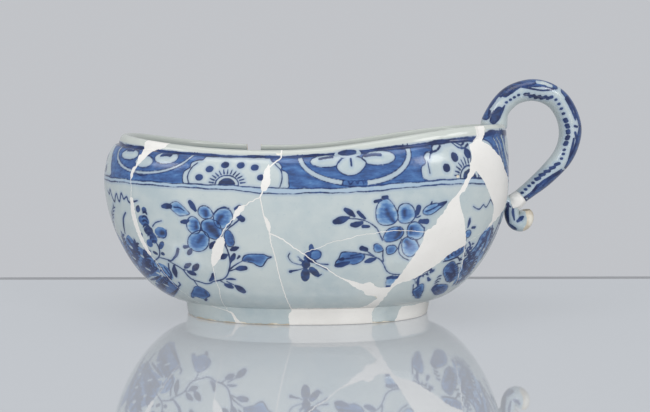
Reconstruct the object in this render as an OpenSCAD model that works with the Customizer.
// Mended oval pot with one looped handle: tin-glazed earthenware sherds held together by white plaster fills.
// Lengths are in millimetres. +X points to the handle, the front wall faces -Y, and the foot stands on z = 0.

/* [Foot] */
// Half-length of the foot on the end away from the handle
foot_left = 63; // [50:1:75]
// Half-length of the foot on the handle's end
foot_right = 64.5; // [50:1:76]
// Half-depth of the foot, front to back
foot_deep = 37.5; // [28:0.5:45]
// Height of the foot under the belly
foot_high = 8.5; // [6:0.5:11]
// Width of the foot's standing edge
foot_edge = 6; // [4:0.5:10]
// How far the foot's side leans out from its edge to the belly
foot_lean = 1.5; // [0:0.5:3]

/* [Belly] */
// Half-length of the belly on the end away from the handle
belly_left = 104; // [90:1:125]
// Half-length of the belly on the handle's end
belly_right = 105; // [90:1:126]
// Half-depth of the belly, front to back
belly_deep = 64; // [54:1:77]
// Height at which the belly is widest
belly_high = 70; // [58:1:84]
// Roundness of the belly's curve: 2 is a true quarter ellipse, less is flatter
belly_round = 1.75; // [1.4:0.05:2]
// Squareness of the plan: 2 is an ellipse, more is squarer
plan_square = 2.7; // [2.2:0.1:3.2]

/* [Rim] */
// Height of the shoulder, from the widest level up to the collar
shoulder_high = 14; // [10:0.5:20]
// Height of the plain collar at the lowest stretch of the rim
collar_wide = 3.3; // [2.6:0.1:5]
// How far the shoulder turns in to the collar
shoulder_in = 7.5; // [4:0.5:10]
// How much higher the rim is at the end away from the handle
rise_left = 8; // [0:0.5:12]
// How much higher the rim is at the handle
rise_right = 12.2; // [0:0.2:15]
// Thickness of the wall at the rim
wall = 4.5; // [3.5:0.1:6]
// Extra thickness of the wall near the floor
wall_extra = 3; // [1:0.5:4]
// Height of the floor's upper face
floor_high = 12; // [10.5:0.5:14]
// Height of the hollow under the floor, inside the foot
hollow_high = 4.5; // [2:0.5:6]

/* [Handle] */
// Thickness of the handle seen from the side
handle_thick = 11.2; // [8:0.2:13]
// Width of the handle across, front to back
handle_wide = 13; // [9:0.5:18]
// Thickness of the curled tail
tail_thick = 7; // [5:0.5:8]

/* [Mending] */
// Width of the thin plaster joints between sherds
joint_gap = 0.9; // [0.5:0.1:1.6]
// Width of the notch in the back rim
notch_wide = 8.5; // [4:0.5:14]
// Depth of the notch below the back rim
notch_deep = 5; // [2:0.5:9]

/* [Hidden] */

glaze_colour = [0.78, 0.84, 0.88];
plaster_colour = [0.95, 0.94, 0.92];

around = 88;

collar_high = belly_high + shoulder_high;
rim_high = collar_high + collar_wide;
rim_right = rim_high + rise_right;
// the handle's furthest reach past the belly, to the middle of its band
handle_reach = 34.5;
// the whole object stands centred on the origin, handle included
middle_x = (belly_right + handle_reach + handle_thick * 0.52 - belly_left) / 2;

// ---------- the pot's whole form, as rings from the foot's hollow over the rim to the floor ----------
function blend(a, b, t) = a + (b - a) * t;
function clamp01(t) = max(0, min(1, t));
function smooth(t) = clamp01(t) * clamp01(t) * (3 - 2 * clamp01(t));
function signed_power(v, p) = v == 0 ? 0 : sign(v) * pow(abs(v), p);

// how full the belly is at a height: 0 at the foot, 1 at the widest level
function fullness(h) =
    let (t = clamp01((belly_high - h) / (belly_high - foot_high)))
    pow(max(0, 1 - pow(t, belly_round)), 1 / belly_round);
// a half size at a height, between its foot value and its belly value
function swell(h, foot_size, belly_size) =
    h < foot_high ? foot_size + foot_lean * max(0, h) / foot_high
                  : blend(foot_size + foot_lean, belly_size, fullness(h));
// exponent of the plan's outline at a height: the foot is nearer to an ellipse
foot_square = 2.3;
function squareness(h) = blend(foot_square, plan_square, fullness(h));
// how far the shoulder and the collar have turned in at a height
collar_in = 1;
function turn_in(h) =
    let (t = clamp01((h - belly_high) / shoulder_high))
    shoulder_in * (1 - sqrt(max(0, 1 - t * t))) + collar_in * clamp01((h - collar_high) / collar_wide);
// the wall stays nearly upright below the handle
upright_from = 0.67;
function turn_share(x) = 1 - 0.8 * smooth((x / belly_right - upright_from) / (1 - upright_from));

// the rim dips near the middle and rises to both ends
dip_x = -16;
rise_x_left = belly_left - 24;
rise_x_right = belly_right + 15;
rise_from = belly_high - 8;
function rim_rise(x) =
    x < dip_x ? rise_left * pow((dip_x - x) / rise_x_left, 2)
              : rise_right * (1 - cos(180 * clamp01((x - dip_x) / rise_x_right))) / 2;
function rise_share(h) = pow(clamp01((h - rise_from) / (rim_high - rise_from)), 2.5);

// a point at an angle round the pot, at a level, set in behind the outer face by inset
function ring_point(angle, h, inset) =
    let (
        power = 2 / squareness(h),
        share_x = signed_power(cos(angle), power),
        share_y = signed_power(sin(angle), power),
        half = cos(angle) < 0 ? swell(h, foot_left, belly_left) : swell(h, foot_right, belly_right),
        behind = turn_in(h) * turn_share(half * share_x) + inset,
        x = (half - behind) * share_x
    )
    [x, (swell(h, foot_deep, belly_deep) - behind) * share_y, h + rise_share(h) * rim_rise(x)];

// each ring is [level, inset], closer together where the profile bends
belly_steps = 9;
shoulder_steps = 5;
edge_round = 0.8;
function inner_inset(h) = wall + wall_extra * (1 - fullness(h));
function belly_level(k, from) = from + (belly_high - from) * pow(k / belly_steps, 1.6);
function shoulder_level(k) = belly_high + shoulder_high * sin(90 * k / shoulder_steps);
under_rings = [[hollow_high, foot_edge + 2], [0, foot_edge], [0, edge_round], [edge_round, 0], [foot_high, 0]];
outer_rings = [
    for (k = [1 : belly_steps]) [belly_level(k, foot_high), 0],
    for (k = [1 : shoulder_steps]) [shoulder_level(k), 0]
];
lip = wall / 2;
lip_rings = [for (a = [0 : 30 : 180]) [rim_high - lip + lip * sin(a), lip - lip * cos(a)]];
inner_from = floor_high + 2;
inner_rings = [
    for (k = [shoulder_steps - 1 : -1 : 0]) [shoulder_level(k), inner_inset(shoulder_level(k))],
    for (k = [belly_steps - 1 : -1 : 0]) [belly_level(k, inner_from), inner_inset(belly_level(k, inner_from))]
];
floor_rings = [[floor_high + 0.5, wall + wall_extra + 2], [floor_high, wall + wall_extra + 6]];
rings = concat(under_rings, outer_rings, lip_rings, inner_rings, floor_rings);

// a closed skin over rings of points, with a flat cap at each end
module skin(ring_list) {
    count = len(ring_list[0]);
    last = len(ring_list) - 1;
    sides = [
        for (r = [0 : last - 1], i = [0 : count - 1])
            let (
                j = (i + 1) % count,
                a = r * count + i,
                b = r * count + j,
                c = a + count,
                d = b + count
            )
            each [[a, c, b], [b, c, d]]
    ];
    first_cap = [for (i = [0 : count - 1]) i];
    last_cap = [for (i = [count - 1 : -1 : 0]) last * count + i];
    polyhedron([for (ring = ring_list) each ring], concat(sides, [first_cap, last_cap]));
}

module pot() {
    skin([for (ring = rings) [for (i = [0 : around - 1]) ring_point(360 * i / around, ring[0], ring[1])]]);
}

// ---------- cutters: outlines drawn on the front wall, carried through it from a point inside ----------
eye = [0, belly_deep * 0.4, belly_high];
sheet_y = -belly_deep - 6;
sheet_gap = eye[1] - sheet_y;

// level of a point on the outer face from its true height, by halving the span
function level_of(x, z, low, high, steps) =
    let (mid = (low + high) / 2)
    steps == 0 ? mid
    : mid + rise_share(mid) * rim_rise(x) < z ? level_of(x, z, mid, high, steps - 1)
    : level_of(x, z, low, mid, steps - 1);
// depth of the front wall's outer face at a place seen from the front
function front_y(x, z) =
    let (
        h = z < foot_high ? max(0, z) : level_of(x, z, 0, rim_high, 14),
        behind = turn_in(h) * turn_share(x),
        half = x < 0 ? swell(h, foot_left, belly_left) : swell(h, foot_right, belly_right),
        share = min(1, abs(x) / (half - behind)),
        n = squareness(h)
    )
    -(swell(h, foot_deep, belly_deep) - behind) * pow(1 - pow(share, n), 1 / n);

// outlines are drawn on a pot of this size, and follow the pot when its size is changed
drawn_left = 104;
drawn_right = 105;
drawn_high = 70;
function place(p) = [
    p[0] * (p[0] < 0 ? belly_left / drawn_left : belly_right / drawn_right),
    p[1] < foot_high ? p[1] : p[1] * belly_high / drawn_high
];
function on_sheet(p) =
    let (q = place(p), grow = sheet_gap / (eye[1] - front_y(q[0], q[1])))
    [q[0] * grow, (q[1] - eye[2]) * grow];

module outline(points) {
    polygon([for (p = points) on_sheet(p)]);
}
module through_wall() {
    translate([0, sheet_y, eye[2]])
        mirror([0, 1, 0])
            rotate([90, 0, 0])
                linear_extrude(height = sheet_gap, scale = 0)
                    children();
}

// ---------- breaks, as [x, height] seen from the front ----------
above_rim = 112;
below_foot = -8;
function back(list) = [for (i = [len(list) - 1 : -1 : 0]) list[i]];

left_break = [
    [-83, 73], [-83, 62], [-81.5, 52], [-79, 43], [-76, 38], [-71, 31], [-66, 23], [-60, 16.5],
    [-53, 10.5], [-47, 8], [-40, 6.5]
];
left_rim_outer = [[-77.5, above_rim], [-77.5, 88], [-79.5, 84.5], [-80, 81], [-83, 77]];
left_rim_inner = [[-64, above_rim], [-66, 90.5], [-71, 87.5], [-74, 85.5], [-77, 82.5], [-79.5, 80], [-81.5, 77]];
centre_break = [[-10, above_rim], [-11, 86], [-13, 82.5], [-16, 80], [-17.5, 75], [-19.5, 68.5], [-20.5, 66]];
wedge_left_break = [
    [-20.5, 66], [-25.5, 63.5], [-28.5, 61], [-30, 59], [-34, 55], [-37, 51.5], [-39, 48], [-40, 45.5],
    [-41, 40], [-43.5, 34], [-43.5, 29], [-43, 25], [-41.5, 20], [-41, 14], [-39.5, 7]
];
wedge_right_upper = [[-20.5, 66], [-19.5, 61], [-19, 57], [-17.5, 54], [-16.5, 49]];
wedge_right_lower = [[-16.5, 49], [-16, 44.5], [-15, 41], [-13.5, 35], [-12.5, 30], [-11, 23], [-9.5, 16.5], [-7.5, 11]];
star_break = [[-16.5, 49], [-14, 48], [-10.5, 46], [-7, 43.5], [-3.5, 41], [-1, 39]];
star_break_low = [[-1, 39], [2, 37], [5, 34.5], [9.5, 32], [13, 29.5], [16.5, 27]];
flower_break = [
    [-1, 39], [3.5, 41], [7, 42], [12, 44.5], [16.5, 45.5], [21, 46.5], [25.5, 48], [30.5, 48.5],
    [37, 49.5], [44.5, 50], [50, 49.5], [56.5, 49]
];
loss_left_upper = [
    [57.5, 49.5], [62, 52.5], [62.5, 55], [65.5, 58], [68, 62.5], [71, 65.5], [73.5, 68.5], [75.5, 72],
    [78, 77], [78.5, 80], [79.5, 85], [78.5, 89], [81, 92], [82, 97.5], [82, above_rim]
];
loss_left_lower = [[56.5, 49], [56, 45], [53.5, 40], [50, 34.5], [45.5, 27.5], [42, 23]];
low_fill_upper = [[42, 23], [40, 21], [34.5, 21.5], [31, 24], [27, 23.5], [24, 24.5], [19, 26], [16.5, 27]];
low_fill_lower = [[16.5, 27], [20.5, 24.5], [24.5, 21.5], [28, 19.5], [29.5, 17.5], [35, 16], [31.5, 12], [27, 9.5]];
loss_low_edge = [[33, 6], [36.5, 12.5], [41, 19.5], [44.5, 23], [51.5, 25], [57.5, 28.5], [65, 33.5], [70, 37.5], [77, 41]];
right_break = [[77.5, 41.5], [77, 36], [77, 31], [76, 25], [75.5, 20], [73, 16], [68, 10.5], [62, 7.5]];
triangle_foot = [[77.5, 42], [84, 45.5], [88.5, 48]];
loss_right_edge = [
    [85, above_rim], [85, 97], [84, 91.5], [88.5, 89], [92.5, 86], [96.5, 82], [99, 77], [101.5, 72.5],
    [102.5, 66.5], [102.5, 62], [101, 58], [97, 54.5], [92, 50.5], [89, 48]
];
triangle_edge = [
    [81.5, 77.5], [84.5, 74], [87.5, 69.5], [90, 64], [92, 59], [92, 55], [91.5, 52], [88.5, 48],
    [84, 45.5], [77.5, 42], [77, 46.5], [76, 54], [74, 60], [73, 66], [76, 68.5], [78, 73]
];

// small losses along the joints, filled with plaster
chips = [
    [[-16.5, 81], [-15.8, 78], [-16, 72], [-18, 69], [-20.3, 69.5], [-19.5, 74], [-18.2, 79]],
    [[-27.5, 62.5], [-28, 60.5], [-31, 57], [-33.5, 55], [-32.8, 58.5], [-30.5, 61.5]],
    [[-40.5, 46.5], [-38.5, 47], [-37.6, 45], [-38.2, 41], [-40, 36.5], [-43.8, 32], [-44.3, 36], [-43.8, 40], [-42.5, 43.5]],
    [[-19.3, 57.5], [-17.2, 56], [-15.8, 52], [-16.3, 49], [-17.8, 51.5]],
    [[-84, 64], [-82.2, 64], [-80.5, 52], [-78, 44], [-74.5, 37], [-76.5, 37], [-80.5, 45], [-83.2, 54]]
];

// the opening in the main sherd that all the front pieces and fills close
front_opening = concat(
    left_rim_outer, left_break, [[-37, 5], [-35, 0], [-33, below_foot], [44, below_foot], [54, -6], [61, -5], [66, -3],
    [66, 0], [65.5, 5]],
    back(right_break), triangle_foot, back(loss_right_edge)
);
front_left_edge = concat(left_rim_inner, left_break, back(wedge_left_break), back(centre_break));
front_foot_edge = concat(
    wedge_left_break, [[-37, 6], [-32, 0], [-31, below_foot], [-8, below_foot], [-8, 0], [-8.5, 5], [-7, 7.5]],
    back(wedge_right_lower), back(wedge_right_upper)
);
front_upper_edge = concat(centre_break, wedge_right_upper, star_break, flower_break, loss_left_upper);
front_lower_edge = concat(wedge_right_lower, [[-7, 9.5], [27, 9.5]], back(low_fill_lower), back(star_break_low), back(star_break));
flower_edge = concat(flower_break, loss_left_lower, low_fill_upper, back(star_break_low));
right_low_edge = concat(
    loss_low_edge, right_break, [[48, 7.5], [45, 0], [44, below_foot], [36, below_foot], [33, 0]]
);

// the white fills meet each other along these outlines, drawn across the joints
far_under = -40;
left_joint_area = [
    [-110, above_rim], [-62, above_rim], [-64, 88], [-78, 76], [-80, 50], [-60, 22], [-44, 13], [-38, 13],
    [-30, 6], [-22, 0], [-22, far_under], [-60, far_under], [-60, 0], [-110, 20]
];
centre_joint_area = [
    [-44, 13], [-52, 30], [-44, 56], [-30, 72], [-20, above_rim], [0, above_rim], [-4, 70], [-14.5, 52],
    [-14.5, 46], [-5, 20], [-4, 10.6], [-10, 10.6], [-25, 24], [-38, 13]
];
lower_joint_area = [
    [-14.5, 52], [-14.5, 46], [-5, 20], [-4, 10.6], [32, 10.6], [34, 13], [41.5, 22], [51.5, 41], [54.5, 46.5], [54.5, 54],
    [0, 60]
];
right_loss_area = [
    [54.5, 54], [54.5, 46.5], [51.5, 41], [41.5, 22], [34, 13], [32, 10.6], [42, 9.5], [62, 8.8], [80, 1], [120, 0],
    [120, above_rim], [60, above_rim]
];
foot_end_area = [[42, 9.5], [62, 8.8], [80, 1], [90, far_under], [40, far_under]];
foot_fill_area = [
    [-10, 10.6], [32, 10.6], [42, 9.5], [40, far_under], [-22, far_under], [-22, 0], [-10, 6]
];

// ---------- handle, as [x, height] from the rim's top at the handle's end ----------
handle_line = [
    [-3.5, -13], [-5.3, -7], [-6, -1], [-3.8, 7], [0.9, 13], [6.3, 16.3], [14, 17.8], [21.6, 16.2], [27.9, 12],
    [32.4, 5], [handle_reach, -3], [33.5, -11], [30.3, -18], [25.3, -24], [19.5, -29.7], [13.4, -34.8], [9, -38.3]
];
handle_thin = [0.3, 0.8, 1.25, 1.02, 1, 1, 1.02, 1.02, 1.02, 1.02, 1.04, 0.98, 0.95, 0.9, 0.84, 0.74, 0.7];
tail_line = [[-4, -39.5], [0.8, -41.2], [4.2, -44.3], [4.7, -48.5], [6.2, -52.3], [9.2, -53.6], [11.4, -51.6], [11.2, -49]];
tail_thin = [0.7, 1, 1.05, 1, 0.95, 0.95, 1, 0.7];
fill_line = [[11, -36.7], [9, -38.3], [6, -41], [2.5, -43.5]];
fill_thin = [0.74, 0.78, 0.86, 0.7];

// a smooth curve through hand-chosen values, with steps places to each span
function near(list, i) = list[max(0, min(len(list) - 1, i))];
function curve_at(list, i, t) =
    let (a = near(list, i - 1), b = near(list, i), c = near(list, i + 1), d = near(list, i + 2))
    (2 * b + (c - a) * t + (2 * a - 5 * b + 4 * c - d) * t * t + (3 * b - a - 3 * c + d) * t * t * t) / 2;
function curve(list, steps) = concat(
    [for (i = [0 : len(list) - 2], k = [0 : steps - 1]) curve_at(list, i, k / steps)],
    [list[len(list) - 1]]
);

// an oval band swept along a line in the XZ plane
module band(line, thick, wide, steps, sides) {
    path = curve(line, steps);
    thick_at = curve(thick, steps);
    wide_at = curve(wide, steps);
    skin([
        for (i = [0 : len(path) - 1])
            let (
                along = near(path, i + 1) - near(path, i - 1),
                out = [-along[1], along[0]] / norm(along)
            )
            [
                for (a = [0 : 360 / sides : 359])
                    [
                        belly_right + path[i][0] + out[0] * thick_at[i] / 2 * cos(a),
                        -wide_at[i] / 2 * sin(a),
                        rim_right + path[i][1] + out[1] * thick_at[i] / 2 * cos(a)
                    ]
            ]
    ]);
}
handle_sides = 20;
function scaled(list, size) = [for (v = list) v * size];
module handle_band() {
    band(handle_line, scaled(handle_thin, handle_thick), scaled(handle_thin, handle_wide), 3, handle_sides);
}
module tail_band() {
    band(tail_line, scaled(tail_thin, tail_thick), scaled(tail_thin, handle_wide * 0.75), 3, handle_sides);
}
module fill_band() {
    band(fill_line, scaled(fill_thin, handle_thick + 0.6), scaled(fill_thin, handle_wide + 0.6), 3, handle_sides);
}

// ---------- sherds of glazed earthenware ----------
module finished(colour) {
    color(colour)
        translate([-middle_x, 0, 0])
            children();
}

// the notch where a flake of the back rim is lost
notch_x = -31.3;
module back_notch() {
    half = notch_wide / 2;
    bottom = rim_high - notch_deep;
    translate([notch_x, belly_deep + wall, 0])
        rotate([90, 0, 0])
            linear_extrude(height = belly_deep / 2)
                polygon([
                    [-half + 0.6, bottom + 0.4], [0.5, bottom], [half - 0.5, bottom + 0.6],
                    [half, rim_high + rise_left], [-half, rim_high + rise_left]
                ]);
}

// every sherd is set back from its breaks by half the joint's width
module chip_outlines() {
    for (chip = chips)
        outline(chip);
}
module sherd_outline(points) {
    difference() {
        offset(delta = -joint_gap / 2)
            outline(points);
        chip_outlines();
    }
}
module opening_outline() {
    offset(delta = joint_gap / 2)
        outline(front_opening);
    chip_outlines();
}

// both ends, the back wall, the floor and the handle, which broke away in one piece
module main_sherd() {
    finished(glaze_colour)
        union() {
            difference() {
                pot();
                through_wall()
                    opening_outline();
                back_notch();
            }
            handle_band();
            tail_band();
        }
}

module front_sherd(points) {
    finished(glaze_colour)
        intersection() {
            pot();
            through_wall()
                sherd_outline(points);
        }
}
module front_left_sherd() front_sherd(front_left_edge);
module front_foot_sherd() front_sherd(front_foot_edge);
module front_upper_sherd() front_sherd(front_upper_edge);
module front_lower_sherd() front_sherd(front_lower_edge);
module flower_sherd() front_sherd(flower_edge);
module triangle_sherd() front_sherd(triangle_edge);
module right_low_sherd() front_sherd(right_low_edge);

// ---------- white plaster between the sherds ----------
module joints_in(area) {
    difference() {
        intersection() {
            opening_outline();
            outline(area);
        }
        for (edge = [
            front_left_edge, front_foot_edge, front_upper_edge, front_lower_edge, flower_edge, triangle_edge,
            right_low_edge
        ])
            sherd_outline(edge);
    }
}
module wall_fill(area) {
    finished(plaster_colour)
        intersection() {
            pot();
            through_wall()
                joints_in(area);
        }
}
module left_joint() wall_fill(left_joint_area);
module centre_joint() wall_fill(centre_joint_area);
module lower_joint() wall_fill(lower_joint_area);
module right_loss_fill() wall_fill(right_loss_area);
module foot_fill() wall_fill(foot_fill_area);
module foot_end_fill() wall_fill(foot_end_area);

// plaster that joins the handle's lower end to the wall and to its tail
module handle_fill() {
    finished(plaster_colour)
        difference() {
            fill_band();
            pot();
            handle_band();
            tail_band();
        }
}

main_sherd();
front_left_sherd();
front_foot_sherd();
front_upper_sherd();
front_lower_sherd();
flower_sherd();
triangle_sherd();
right_low_sherd();
left_joint();
centre_joint();
lower_joint();
right_loss_fill();
foot_fill();
foot_end_fill();
handle_fill();
